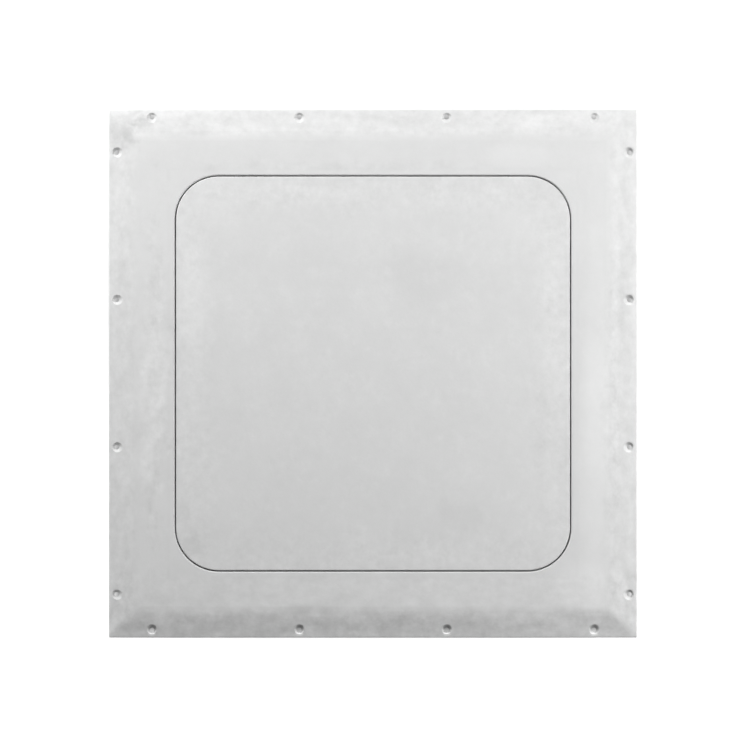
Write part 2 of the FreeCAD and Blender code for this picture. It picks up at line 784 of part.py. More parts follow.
def make_drain(side, sign):
    """Drain fitting through the outer side wall of a hinge pocket, held by a nut outside."""
    flange = mm(2)
    body = new_body("drain_tail_" + side)
    reach = d.drain_screwed + d.drain_length
    turn(body, [
        (d.drain_bore, -flange),
        (d.drain_thread + 1.9, -flange),
        (d.drain_thread + 1.9, mm(0)),
        (d.drain_thread, mm(0)),
        (d.drain_thread, d.drain_screwed),
        (d.drain_radius, d.drain_screwed),
        (d.drain_radius, reach - 1.0),
        (d.drain_radius - 0.7, reach),
        (d.drain_bore, reach),
    ])
    lay_along_x(body, sign)
    inside = d.hinge_x + d.pocket_half
    place(body, inside * sign, d.drain_y, d.drain_z)
    nut = make_hex_nut("drain_nut_" + side, d.drain_thread, 22.0, mm(5))
    lay_along_x(nut, sign)
    place(nut, (inside + d.pocket_wall) * sign, d.drain_y, d.drain_z)


# ---------------------------------------------------------------- lid

def make_lid_skin():
    body = new_body("lid_skin")
    foot = d.land_height - d.lid_depth
    lid_half = d.rebate_half - d.lid_gap
    foot_half = lid_half - d.lid_depth * tangent(d.draft)
    sketch = new_sketch(body, "foot", offset=foot)
    draw_square(sketch, foot_half, ring_corner(foot_half))
    pad(body, sketch, d.lid_depth, taper=d.draft)
    inner = foot_half - d.lid_lip
    sketch = new_sketch(body, "hollow", offset=foot)
    draw_square(sketch, inner, ring_corner(inner))
    pocket(body, sketch, d.lid_depth - d.skin_thick, reverse=True)
    fillet(body, d.lip_round, level_at(d.land_height))


def leaf_screw_points():
    for side, sign in SIDES:
        for name, offset in (("a", -d.leaf_screw), ("b", d.leaf_screw)):
            yield side, name, d.hinge_x * sign + offset, (d.leaf_near + d.leaf_far) / 2


def housing_screw_points():
    for side, sign in SIDES:
        for name, offset in (("a", -21.0), ("b", 21.0)):
            yield side, name, d.dog_x * sign + offset, d.dog_y


def make_lid_liner():
    """Inner moulding of the lid: a flange inside the lip and a tray that hangs inside the seal."""
    body = new_body("lid_liner")
    foot = d.land_height - d.lid_depth
    flange_top = d.land_height - d.skin_thick
    flange_half = d.rebate_half - d.lid_gap - d.lid_depth * tangent(d.draft) - d.lid_lip
    sketch = new_sketch(body, "flange", offset=foot)
    draw_square(sketch, flange_half, ring_corner(flange_half))
    pad(body, sketch, flange_top - foot)
    sketch = new_sketch(body, "tray", offset=foot)
    draw_square(sketch, d.tray_half, ring_corner(d.tray_half))
    pad(body, sketch, foot - d.tray_floor, reverse=True)
    inner = d.tray_half - d.tray_wall
    sketch = new_sketch(body, "hollow", offset=d.tray_floor + d.tray_wall)
    draw_square(sketch, inner, ring_corner(inner))
    pocket(body, sketch, flange_top - d.tray_floor - d.tray_wall, reverse=True)
    fillet(body, mm(2.5), level_at(d.tray_floor))
    sketch = new_sketch(body, "leaf_bores", offset=foot)
    for side, name, x, y in leaf_screw_points():
        draw_circle(sketch, x, y, d.screw_shank / 2)
    pocket(body, sketch, mm(3.4), reverse=True)
    sketch = new_sketch(body, "housing_bores", offset=d.tray_floor)
    for side, name, x, y in housing_screw_points():
        draw_circle(sketch, x, y, d.screw_shank / 2)
    pocket(body, sketch, mm(2.8), reverse=True)


def make_lid_core():
    body = new_body("lid_core")
    inner = d.tray_half - d.tray_wall
    sketch = new_sketch(body, "fill", offset=d.tray_floor + d.tray_wall)
    draw_square(sketch, inner, ring_corner(inner))
    pad(body, sketch, d.land_height - d.skin_thick - d.tray_floor - d.tray_wall)


def make_arm(side, middle):
    """Gooseneck arm: knuckle and stem under the axis, a quarter ring, and the leaf on the lid."""
    body = new_body("hinge_arm_" + side)
    sketch = new_sketch(body, "knuckle", "YZ_Plane")
    draw_circle(sketch, d.axis_y, d.axis_z, d.knuckle)
    pad(body, sketch, d.arm_thick, both=True)
    sketch = new_sketch(body, "stem", "YZ_Plane")
    draw_box(sketch, d.axis_y - 5.0, d.axis_y + 5.0, d.axis_z - d.arm_outer, d.axis_z)
    pad(body, sketch, d.arm_thick, both=True)
    sketch = new_sketch(body, "gooseneck", "YZ_Plane")
    draw_sector(sketch, d.axis_y, d.axis_z, d.arm_inner, d.arm_outer)
    pad(body, sketch, d.arm_thick, both=True)
    leaf_top = d.land_height - d.lid_depth
    sketch = new_sketch(body, "leaf", offset=leaf_top)
    draw_box(sketch, -d.leaf_half, d.leaf_half, d.leaf_near, d.leaf_far, mm(3))
    pad(body, sketch, d.leaf_thick, reverse=True)
    sketch = new_sketch(body, "bore", "YZ_Plane")
    draw_circle(sketch, d.axis_y, d.axis_z, d.pivot_bore / 2)
    pocket(body, sketch, d.arm_thick + 2, both=True)
    sketch = new_sketch(body, "leaf_bores", offset=leaf_top - d.leaf_thick)
    for offset in (-d.leaf_screw, d.leaf_screw):
        draw_circle(sketch, offset, (d.leaf_near + d.leaf_far) / 2, d.screw_shank / 2)
    pocket(body, sketch, d.leaf_thick, reverse=True)
    place(body, middle, 0.0, 0.0)


def make_leaf_screws():
    for side, name, x, y in leaf_screw_points():
        screw = make_pan_screw("arm_screw_%s_%s" % (side, name), 7.4)
        place(screw, x, y, d.land_height - d.lid_depth - d.leaf_thick)


# ---------------------------------------------------------------- dogs

def make_housing(side, x):
    """Dog housing under the tray: a flange, a boss and a recess that holds the spindle's head."""
    body = new_body("dog_housing_" + side)
    flange_foot, boss_foot = level_at(d.tray_floor - 4.0), level_at(d.boss_foot)
    sketch = new_sketch(body, "flange", offset=d.tray_floor)
    draw_box(sketch, mm(-29), mm(29), mm(-18),
             mm(18), mm(10))
    pad(body, sketch, mm(4), reverse=True)
    sketch = new_sketch(body, "boss", offset=d.tray_floor)
    draw_circle(sketch, 0.0, 0.0, mm(13.5))
    pad(body, sketch, d.tray_floor - d.boss_foot, reverse=True)
    fillet(body, d.small_round, lambda box: flange_foot(box) or (boss_foot(box) and box.XLength > 20))
    sketch = new_sketch(body, "recess", offset=d.tray_floor)
    draw_circle(sketch, 0.0, 0.0, mm(9.4))
    pocket(body, sketch, mm(3.8))
    sketch = new_sketch(body, "bore", offset=d.tray_floor)
    draw_circle(sketch, 0.0, 0.0, d.shaft_bore / 2)
    pocket(body, sketch, d.tray_floor - d.boss_foot + 1.0)
    sketch = new_sketch(body, "bores", offset=d.tray_floor)
    for offset in (-21.0, 21.0):
        draw_circle(sketch, offset, 0.0, d.screw_shank / 2)
    pocket(body, sketch, mm(5))
    place(body, x, d.dog_y, 0.0)
    for name, offset in (("a", -21.0), ("b", 21.0)):
        screw = make_pan_screw("housing_screw_%s_%s" % (side, name), 6.8)
        place(screw, x + offset, d.dog_y, d.tray_floor - 4.0)


def make_dog(side, sign):
    """The turning pieces of one dog; blade and grip point opposite ways."""
    x = d.dog_x * sign
    make_housing(side, x)
    spindle = new_body("dog_spindle_" + side)
    sketch = new_sketch(spindle, "head", offset=d.tray_floor - 0.3)
    draw_circle(sketch, 0.0, 0.0, mm(9))
    pad(spindle, sketch, mm(3), reverse=True)
    sketch = new_sketch(spindle, "shank", offset=d.tray_floor - 0.3)
    draw_circle(sketch, 0.0, 0.0, d.shaft / 2)
    pad(spindle, sketch, d.tray_floor - 0.3 - (d.boss_foot - 1.4), reverse=True)
    sketch = new_sketch(spindle, "square", offset=d.boss_foot)
    draw_square(sketch, d.square / 2)
    pad(spindle, sketch, d.boss_foot - d.grip_base, reverse=True)
    sketch = new_sketch(spindle, "tapping", offset=d.grip_base)
    draw_circle(sketch, 0.0, 0.0, mm(2.5))
    pocket(spindle, sketch, mm(14), reverse=True)
    place(spindle, x, d.dog_y, 0.0)

    washer = make_washer("thrust_washer_" + side, d.shaft / 2, 11.0, mm(1))
    place(washer, x, d.dog_y, d.boss_foot - 1.3)
    make_blade(side, sign, x)
    make_grip(side, sign, x)

    plate = make_washer("grip_washer_" + side, 2.5, 7.0, mm(1.2))
    place(plate, x, d.dog_y, d.grip_base - 1.2)
    bolt = new_body("grip_bolt_" + side)
    turn(bolt, [
        (mm(0), mm(-3)),
        (mm(4.2), mm(-3), mm(1.2)),
        (mm(4.2), mm(0)),
        (mm(2.5), mm(0)),
        (mm(2.5), mm(12)),
        (mm(0), mm(12)),
    ])
    place(bolt, x, d.dog_y, d.grip_base - 1.2)


def make_blade(side, sign, x):
    body = new_body("dog_blade_" + side)
    hub_top = d.boss_foot - 1.4
    sketch = new_sketch(body, "hub", offset=hub_top)
    draw_circle(sketch, 0.0, 0.0, mm(10))
    pad(body, sketch, hub_top - d.blade_base, reverse=True)
    sketch = new_sketch(body, "blade", offset=d.blade_top)
    tip = d.blade_reach * sign
    points = [
        (mm(0), mm(-9)),
        (tip, mm(-7), mm(4)),
        (tip, mm(7), mm(4)),
        (mm(0), mm(9)),
    ]
    draw_outline(sketch, points if sign > 0 else points[::-1])
    pad(body, sketch, d.blade_top - d.blade_base, reverse=True)
    fillet(body, d.small_round, level_at(d.blade_base))
    sketch = new_sketch(body, "bore", offset=d.blade_base)
    draw_square(sketch, d.square / 2)
    pocket(body, sketch, hub_top - d.blade_base + 1.0, reverse=True)
    place(body, x, d.dog_y, 0.0)


def make_grip(side, sign, x):
    body = new_body("dog_grip_" + side)
    sketch = new_sketch(body, "hub", offset=d.blade_base)
    draw_circle(sketch, 0.0, 0.0, mm(14))
    pad(body, sketch, d.blade_base - d.grip_base, reverse=True)
    sketch = new_sketch(body, "lever", offset=d.blade_base - 1.0)
    tip = -d.grip_reach * sign
    points = [
        (mm(0), mm(10)),
        (tip, mm(9), mm(7.5)),
        (tip, mm(-9), mm(7.5)),
        (mm(0), mm(-10)),
    ]
    draw_outline(sketch, points if sign > 0 else points[::-1])
    pad(body, sketch, mm(9), reverse=True)
    lever_foot = level_at(d.blade_base - 10.0)
    fillet(body, mm(2.5), lambda box: lever_foot(box) and abs(box.Center.x) > 16)
    sketch = new_sketch(body, "bore", offset=d.grip_base)
    draw_square(sketch, d.square / 2)
    pocket(body, sketch, d.blade_base - d.grip_base + 1.0, reverse=True)
    place(body, x, d.dog_y, 0.0)


# ---------------------------------------------------------------- assembly

make_frame()
make_seal()
make_lid_skin()
make_lid_liner()
make_lid_core()
make_leaf_screws()
for side, sign in SIDES:
    middle = d.hinge_x * sign
    make_bracket("hinge_bracket_" + side, middle)
    make_bracket_screws(side, middle)
    make_pivot(side, middle)
    make_arm(side, middle)
    make_keeper(side, sign)
    make_drain(side, sign)
    make_dog(side, sign)
doc.recompute()


# ---------------------------------------------------------------- checks and files

for item in doc.Objects:
    bad = [state for state in item.State if "Invalid" in state or "Error" in state]
    if bad:
        raise RuntimeError("%s: %s" % (item.Name, ", ".join(bad)))
for node in NODES:
    if node.Shape.isNull() or not node.Shape.isValid():
        raise RuntimeError("%s has no valid shape" % node.Label)
    if len(node.Shape.Solids) != 1:
        raise RuntimeError("%s has %d solids" % (node.Label, len(node.Shape.Solids)))

os.makedirs("parts", exist_ok=True)
for node in NODES:
    node.Shape.exportStep("parts/%s.step" % node.Label)
    print("%-26s %10.1f mm3" % (node.Label, node.Shape.Volume))
print(len(NODES), "sub-parts")
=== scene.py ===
import math

import bmesh
import bpy
from mathutils import Matrix, Vector


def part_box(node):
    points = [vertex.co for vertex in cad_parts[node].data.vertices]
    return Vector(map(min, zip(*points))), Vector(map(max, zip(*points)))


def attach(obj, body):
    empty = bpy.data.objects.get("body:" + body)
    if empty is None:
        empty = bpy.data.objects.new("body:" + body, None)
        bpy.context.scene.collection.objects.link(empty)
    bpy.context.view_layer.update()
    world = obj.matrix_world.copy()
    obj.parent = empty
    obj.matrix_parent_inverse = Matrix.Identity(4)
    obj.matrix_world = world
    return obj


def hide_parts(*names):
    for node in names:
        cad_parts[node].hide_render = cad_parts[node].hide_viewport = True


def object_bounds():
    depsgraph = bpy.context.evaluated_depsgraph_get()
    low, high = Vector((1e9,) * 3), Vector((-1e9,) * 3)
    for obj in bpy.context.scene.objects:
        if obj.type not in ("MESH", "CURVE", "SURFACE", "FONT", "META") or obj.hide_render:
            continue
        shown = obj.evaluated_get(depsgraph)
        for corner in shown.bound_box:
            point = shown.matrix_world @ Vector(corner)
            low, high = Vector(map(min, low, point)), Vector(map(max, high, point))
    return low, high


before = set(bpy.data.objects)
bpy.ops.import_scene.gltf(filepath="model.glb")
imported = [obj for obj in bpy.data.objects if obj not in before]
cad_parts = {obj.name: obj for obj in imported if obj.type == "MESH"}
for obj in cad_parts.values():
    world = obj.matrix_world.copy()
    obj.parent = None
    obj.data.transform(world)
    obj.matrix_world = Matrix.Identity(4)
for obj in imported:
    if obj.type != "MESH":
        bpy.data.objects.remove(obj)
CAD_LOW, CAD_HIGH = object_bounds()

SIDES = ("left", "right")

# Sizes of the coaming, the opening and the seal, in metres: the first six as in the CAD part. The
# bulb's arc is in degrees.
COAMING_THICK = 0.005
COAMING_TOP = -0.006
REBATE_HALF = 0.2286
REBATE_ROUND = 0.051
SEAL_WALL = 0.0015
SEAL_WIDTH = COAMING_THICK + 2 * SEAL_WALL
DUST_TOP = 0.001
BULB_RADIUS = 0.0042
BULB_START = -28
BULB_SWEEP = 236
BULB_STEPS = 16
CORNER_STEPS = 20


# ---------------------------------------------------------------- node trees

class Tree:
    """A material's nodes, made one after another. Links and plain numbers both go in as inputs."""

    def __init__(self, name):
        self.material = bpy.data.materials.new(name)
        self.material.use_nodes = True
        self.nodes = self.material.node_tree.nodes
        self.links = self.material.node_tree.links
        self.nodes.clear()
        output = self.nodes.new("ShaderNodeOutputMaterial")
        self.shader = self.nodes.new("ShaderNodeBsdfPrincipled")
        self.links.new(self.shader.outputs["BSDF"], output.inputs["Surface"])
        self.place = self.make("ShaderNodeTexCoord").outputs["Object"]

    def make(self, kind, inputs=None, **settings):
        """A node with its settings, and with its inputs fed by name or number."""
        node = self.nodes.new(kind)
        for key, value in settings.items():
            setattr(node, key, value)
        for key, value in (inputs or {}).items():
            self.feed(node.inputs[key], value)
        return node

    def feed(self, socket, value):
        if isinstance(value, bpy.types.NodeSocket):
            self.links.new(value, socket)
        else:
            socket.default_value = value

    def math(self, operation, first, second=0.0, third=0.0):
        node = self.make("ShaderNodeMath", operation=operation)
        for socket, value in zip(node.inputs, (first, second, third)):
            self.feed(socket, value)
        return node.outputs[0]

    def vector(self, operation, first, second=(0.0, 0.0, 0.0)):
        node = self.make("ShaderNodeVectorMath", operation=operation)
        self.feed(node.inputs[0], first)
        self.feed(node.inputs[1], second)
        return node.outputs[0]

    def axis(self, letter):
        """One of the place's three coordinates."""
        return self.make("ShaderNodeSeparateXYZ", {0: self.place}).outputs[letter]

    def span(self, letter):
        """How far a place is from the middle along X or Y."""
        return self.math("ABSOLUTE", self.axis(letter))

    def stretched(self, factors):
        """The place, scaled by a factor on each axis."""
        return self.vector("MULTIPLY", self.place, factors)

    def noise(self, scale, detail=4.0, roughness=0.55, place=None, distortion=0.0, offset=None):
        """Noise about zero, roughly from -0.5 to 0.5."""
        place = self.place if place is None else place
        if offset:
            place = self.vector("ADD", place, (offset, offset * 0.7, offset * 1.3))
        node = self.make("ShaderNodeTexNoise", {
            "Vector": place, "Scale": scale, "Detail": detail, "Roughness": roughness,
            "Distortion": distortion})
        return self.math("SUBTRACT", node.outputs[0], 0.5)

    def ramp(self, value, low, high, start=0.0, end=1.0):
        """A smooth step from start to end as a value goes from low to high."""
        node = self.make("ShaderNodeMapRange", interpolation_type="SMOOTHSTEP")
        for key, number in (("Value", value), ("From Min", low), ("From Max", high),
                            ("To Min", start), ("To Max", end)):
            self.feed(node.inputs[key], number)
        return node.outputs[0]

    def total(self, *terms):
        """Sum of (value, weight) pairs."""
        result = None
        for value, weight in terms:
            part = self.math("MULTIPLY", value, weight)
            result = part if result is None else self.math("ADD", result, part)
        return result

    def colour(self, base, change):
        """The base colour made lighter or darker by a fraction."""
        node = self.make("ShaderNodeVectorMath", {0: base}, operation="SCALE")
        self.feed(node.inputs["Scale"], self.math("ADD", change, 1.0))
        return node.outputs[0]

    def bump(self, height, distance, strength=1.0):
        node = self.make("ShaderNodeBump", {"Height": height, "Distance": distance,
                                            "Strength": strength})
        self.feed(self.shader.inputs["Normal"], node.outputs[0])

    def set(self, **values):
        """Feed the shader's own sockets."""
        for key, value in values.items():
            self.feed(self.shader.inputs[key.replace("_", " ")], value)


def square_reach(tree):
    """How far out a place is, the same all along the sides of a square round the middle."""
    return tree.math("MAXIMUM", tree.span("X"), tree.span("Y"))


def square_side(tree):
    """Which sides a place is nearer to: above zero at the left and right, below at the others."""
    return tree.math("SUBTRACT", tree.span("X"), tree.span("Y"))


SMUDGE_EDGE = (1.0, 0.3)
RAGGEDNESS = 2.4


def smudge(tree, ragged, x, y, across, along):
    """A soft oval patch, one in its middle and zero outside, sizes in mm. Noise makes it ragged."""
    offset = tree.vector("SUBTRACT", tree.place, (x / 1000, y / 1000, 0.0))
    scaled = tree.vector("MULTIPLY", offset, (1000 / across, 1000 / along, 0.0))
    distance = tree.make("ShaderNodeVectorMath", {0: scaled}, operation="LENGTH").outputs["Value"]
    return tree.ramp(tree.math("MULTIPLY_ADD", ragged, RAGGEDNESS, distance), *SMUDGE_EDGE)


# Places on the mouldings that are paler or darker: centre, half sizes in mm, and how much paler.
# The first two lists are rubbed and stained patches, with ragged edges.
LID_STAINS = (
    (-83, 211, 105, 13, 0.030), (-198, 192, 28, 32, 0.022), (-43, 203, 46, 12, 0.022),
    (-210, 85, 17, 70, 0.028), (-210, -76, 15, 100, 0.016), (208, -30, 15, 200, 0.032),
    (170, 177, 50, 30, 0.014), (101, -163, 30, 20, -0.028), (-209, -197, 17, 17, -0.060),
    (-217, -163, 8, 18, -0.045), (89, -209, 75, 10, 0.018), (-152, -30, 20, 30, -0.015),
)
FRAME_STAINS = (
    (-287, 278, 23, 28, -0.150), (-293, 225, 9, 30, 0.025), (295, 292, 8, 9, -0.035),
    (-281, -293, 25, 9, -0.070), (276, -294, 23, 8, -0.045), (-37, 239, 160, 7, -0.020),
    (-244, -7, 10, 190, 0.014), (275, -53, 8, 190, -0.022), (286, -88, 6, 10, -0.030),
    (-256, -260, 36, 15, -0.022), (-268, 283, 17, 13, -0.110),
)
# Painted light and shade: broad, soft paler and darker patches, where the lights alone leave a face
# too dark or too pale.
LID_PAINTED_SHADING = (
    (55, 115, 70, 45, -0.035), (-203, 73, 28, 95, 0.045), (205, 113, 25, 45, 0.045),
    (205, -60, 28, 75, -0.025),
)
FRAME_PAINTED_SHADING = (
    (247, -246, 48, 42, 0.080), (257, 20, 20, 260, 0.035), (257, -110, 30, 215, 0.080),
    (0, 291, 330, 12, -0.032), (291, 110, 12, 200, -0.050), (-120, -291, 200, 11, -0.045),
    (-205, 291, 50, 12, -0.045), (180, 291, 90, 12, 0.045), (75, -291, 150, 11, -0.080),
    (-256, -20, 22, 90, 0.040), (165, 250, 60, 20, 0.045), (-75, -272, 45, 9, -0.090),
    (-215, 279, 60, 10, -0.070), (-286, 268, 16, 20, -0.070), (-259, -102, 18, 34, 0.060),
)
# The countersinks on two sides, darker in the upper half and paler in the lower: shading that the
# lights leave too weak, laid on as a change of colour.
HOLE_ALONG = (-255, -85, 85, 255)
HOLE_LINE = 296
HOLE_PAINTED_SHADING = tuple(
    (x, -HOLE_LINE + shift, across, along, paler) for x in HOLE_ALONG
    for shift, across, along, paler in ((3.2, 7.0, 4.8, -0.44), (-4.5, 6.5, 3.5, 0.26))
) + tuple(
    (HOLE_LINE, y + shift, across, along, paler) for y in HOLE_ALONG
    for shift, across, along, paler in ((3.2, 7.0, 4.8, -0.26), (-4.5, 6.5, 3.5, 0.10))
)


# From and to, in metres, of each change across the face: distances out from the middle, and for
# NEAR_LAND along Y. LINE_GROWS and LINE_FADES make a faint dark line round the opening.
LID_RIM = (0.168, 0.212)
BORDER_SLOPE = (0.268, 0.280)
LINE_GROWS = (0.2325, 0.2350)
LINE_FADES = (0.2385, 0.2355)
NEAR_LAND = (-0.226, -0.236)
# Patches of stronger mottling on the land, in mm: centre and half sizes.
LEFT_LAND = (-250, -7, 24, 240)
RIGHT_LAND = (272, -53, 14, 230)
FAR_LAND = (-37, 238, 200, 11)
MOULDING_COLOUR = (0.555, 0.557, 0.556)


def marks(tree, ragged, places):
    """The smudges of a list added up, each times how much paler it is."""
    return tree.total(*((smudge(tree, ragged, *place[:4]), place[4]) for place in places))


def moulded_face(name, lid):
    """Pale grey moulding, matt, with the clouding and rubbed patches of a hand-finished face, and
    painted light and shade laid on as broad patches of colour.
    """
    tree = Tree(name)
    seed = 1.7 if lid else 2.3
    cloud = tree.noise(13.0, 4.0, 0.6, offset=seed * 0.2)
    patch = tree.noise(38.0, 5.0, 0.62, offset=seed)
    blotch = tree.noise(120.0, 4.0, 0.6, offset=seed * 2.0)
    grain = tree.noise(420.0, 3.0, 0.6)
    reach = square_reach(tree)
    if lid:
        rim = tree.ramp(reach, *LID_RIM)
        mottled = tree.math("MULTIPLY_ADD", tree.ramp(patch, -0.02, 0.10), 0.7,
                            tree.math("MULTIPLY_ADD", rim, 1.3, 0.45))
        # The stains, plus painted light and shade in broad patches.
        places = tree.math("ADD", marks(tree, patch, LID_STAINS), marks(tree, 0.0, LID_PAINTED_SHADING))
        extra = (rim, 0.006)
    else:
        slope = tree.ramp(reach, *BORDER_SLOPE)
        near = tree.ramp(tree.axis("Y"), *NEAR_LAND)
        left, right, far = (smudge(tree, patch, *land)
                            for land in (LEFT_LAND, RIGHT_LAND, FAR_LAND))
        mottled = tree.total((slope, 2.4), (near, 1.7), (left, 3.0), (right, 2.0), (far, 1.6))
        mottled = tree.math("ADD", mottled, 0.5)
        upright = tree.noise(1.0, 4.0, 0.62, place=tree.stretched((85.0, 45.0, 40.0)))
        level = tree.noise(1.0, 4.0, 0.62, place=tree.stretched((45.0, 85.0, 40.0)))
        streaks = tree.make("ShaderNodeMix", {
            "Factor": tree.ramp(square_side(tree), -0.02, 0.02), "A": level, "B": upright},
            data_type="FLOAT").outputs[0]
        blotch = tree.total((blotch, 0.6), (streaks, 0.75))
        line = tree.math("MULTIPLY", tree.ramp(reach, *LINE_GROWS), tree.ramp(reach, *LINE_FADES))
        # The stains, plus painted light and shade in broad patches and painted shading in the
        # countersinks.
        places = tree.math("ADD", marks(tree, patch, FRAME_STAINS),
                           marks(tree, 0.0, FRAME_PAINTED_SHADING + HOLE_PAINTED_SHADING))
        extra = (tree.math("MULTIPLY", line, tree.ramp(patch, -0.08, 0.06)), -0.022)
    shade = tree.total((cloud, 0.10), (patch, 0.07), (tree.math("MULTIPLY", blotch, mottled), 0.13),
                       (grain, 0.05), (places, 1.0), extra)
    tree.set(Base_Color=tree.colour(MOULDING_COLOUR, shade))
    tree.set(Roughness=tree.math("MULTIPLY_ADD", patch, 0.18, 0.70))
    tree.set(Specular_IOR_Level=0.22)
    relief = tree.total((blotch, 0.8), (grain, 0.5), (cloud, 1.6))
    tree.bump(relief, 0.00020, 0.55)
    return tree.material


def inner_moulding():
    """The unseen side of the same moulding: flow coat brushed over glass cloth."""
    tree = Tree("inner_moulding")
    cloud = tree.noise(16.0, 4.0, 0.6, offset=0.9)
    brushed = tree.noise(1.0, 4.0, 0.6, place=tree.stretched((14.0, 120.0, 60.0)))
    grain = tree.noise(420.0, 3.0, 0.6)
    shade = tree.total((cloud, 0.07), (brushed, 0.05), (grain, 0.05))
    tree.set(Base_Color=tree.colour((0.52, 0.52, 0.51), shade))
    tree.set(Roughness=tree.math("MULTIPLY_ADD", brushed, 0.25, 0.42))
    tree.bump(tree.total((brushed, 1.0), (grain, 0.5)), 0.0004, 0.6)
    return tree.material


def stainless(name, turned):
    """Satin stainless steel: fine marks round a turned piece or along a flat one."""
    tree = Tree(name)
    lines = (300.0, 300.0, 3000.0) if turned else (180.0, 2600.0, 900.0)
    scratches = tree.noise(1.0, 3.0, 0.7, place=tree.stretched(lines))
    cloud = tree.noise(60.0, 4.0, 0.6)
    shade = tree.total((scratches, 0.14), (cloud, 0.10))
    tree.set(Base_Color=tree.colour((0.60, 0.59, 0.575), shade))
    tree.set(Metallic=1.0)
    tree.set(Roughness=tree.math("MULTIPLY_ADD", cloud, 0.20,
                                 tree.math("MULTIPLY_ADD", scratches, 0.16, 0.33)))
    tree.bump(scratches, 0.00003, 0.6)
    return tree.material


def nylon(name, base, roughness):
    """Glass-filled nylon: faint flow marks and a fine matt texture."""
    tree = Tree(name)
    flow = tree.noise(1.0, 4.0, 0.65, place=tree.stretched((35.0, 90.0, 60.0)), distortion=0.8)
    grain = tree.noise(1500.0, 2.0, 0.6)
    tree.set(Base_Color=tree.colour(base, tree.total((flow, 0.55), (grain, 0.35))))
    tree.set(Roughness=tree.math("MULTIPLY_ADD", flow, 0.25, roughness))
    tree.bump(tree.total((grain, 1.0), (flow, 0.4)), 0.00006, 0.7)
    return tree.material


def acetal(name, base):
    """Turned acetal: smooth, faintly waxy, with lathe marks."""
    tree = Tree(name)
    lathe_marks = tree.noise(1.0, 2.0, 0.5, place=tree.stretched((2500.0, 400.0, 400.0)))
    cloud = tree.noise(90.0, 3.0, 0.5)
    tree.set(Base_Color=tree.colour(base, tree.total((cloud, 0.10), (lathe_marks, 0.05))))
    tree.set(Roughness=tree.math("MULTIPLY_ADD", lathe_marks, 0.12, 0.38))
    tree.set(Subsurface_Weight=0.08)
    tree.set(Subsurface_Scale=0.002)
    tree.bump(lathe_marks, 0.00003, 0.5)
    return tree.material


def balsa():
    """End-grain balsa in blocks, for the core."""
    tree = Tree("balsa_core")
    blocks = tree.make("ShaderNodeTexVoronoi", {"Vector": tree.place, "Scale": 30.0},
                       distance="CHEBYCHEV").outputs["Distance"]
    grain = tree.noise(700.0, 4.0, 0.7)
    tree.set(Base_Color=tree.colour((0.55, 0.39, 0.22), tree.total((blocks, 0.35), (grain, 0.4))))
    tree.set(Roughness=tree.math("MULTIPLY_ADD", grain, 0.2, 0.75))
    tree.bump(grain, 0.0003, 0.6)
    return tree.material


def rubber():
    """Extruded EPDM: matt black with a fine grain, dusty on its crown."""
    tree = Tree("seal_rubber")
    dust = tree.noise(55.0, 5.0, 0.65)
    grain = tree.noise(1300.0, 2.0, 0.6)
    height = tree.ramp(tree.axis("Z"), COAMING_TOP, DUST_TOP)
    crown = tree.math("MULTIPLY", height, tree.ramp(dust, -0.05, 0.2))
    tree.set(Base_Color=tree.colour((0.020, 0.020, 0.021), tree.total((crown, 1.2), (grain, 0.5))))
    tree.set(Roughness=tree.math("MULTIPLY_ADD", dust, 0.25, 0.62))
    tree.set(Sheen_Weight=0.15)
    tree.bump(tree.total((grain, 1.0), (dust, 0.5)), 0.00005, 0.7)
    return tree.material


def dress(material, *nodes):
    """Give CAD nodes a material, leaving their meshes alone."""
    for name in nodes:
        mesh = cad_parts[name].data
        mesh.materials.clear()
        mesh.materials.append(material)


def pairs(*names):
    """The names of the left and right nodes of each kind."""
    return [name % side for name in names for side in SIDES]


dress(moulded_face("frame_moulding", lid=False), "frame")
dress(moulded_face("lid_moulding", lid=True), "lid_skin")
dress(inner_moulding(), "lid_liner")
dress(balsa(), "lid_core")
dress(stainless("stainless_flat", turned=False),
      *pairs("hinge_bracket_%s", "hinge_arm_%s", "keeper_%s", "dog_blade_%s", "lock_nut_%s"))
dress(stainless("stainless_turned", turned=True),
      *pairs("pivot_bolt_%s", "disc_spring_%s", "dog_spindle_%s", "grip_washer_%s",
             "grip_bolt_%s", "bracket_screw_%s_a", "bracket_screw_%s_b", "arm_screw_%s_a",
             "arm_screw_%s_b", "housing_screw_%s_a", "housing_screw_%s_b", "keeper_screw_%s_a",
             "keeper_screw_%s_b"))
dress(nylon("nylon_housing", (0.030, 0.030, 0.032), 0.50), *pairs("dog_housing_%s"))
dress(nylon("nylon_grip", (0.022, 0.022, 0.024), 0.42), *pairs("dog_grip_%s"))
dress(acetal("acetal_black", (0.03, 0.03, 0.03)),
      *pairs("thrust_washer_%s", "friction_washer_%s_inner", "friction_washer_%s_outer"))
dress(acetal("acetal_white", (0.70, 0.70, 0.67)), *pairs("drain_tail_%s", "drain_nut_%s"))


# ---------------------------------------------------------------- bulb seal

def rounded_path(half, radius, steps):
    """Points and outward normals at the corners' arcs of a rounded square; its sides join them."""
    centre = Vector((half - radius, half - radius))
    path = []
    for quarter in range(4):
        spin = Matrix.Rotation(quarter * math.pi / 2, 2)
        for step in range(steps + 1):
            angle = step / steps * math.pi / 2
            normal = Vector((math.cos(angle), math.sin(angle)))
            path.append((spin @ (centre + normal * radius), spin @ normal))
    return path


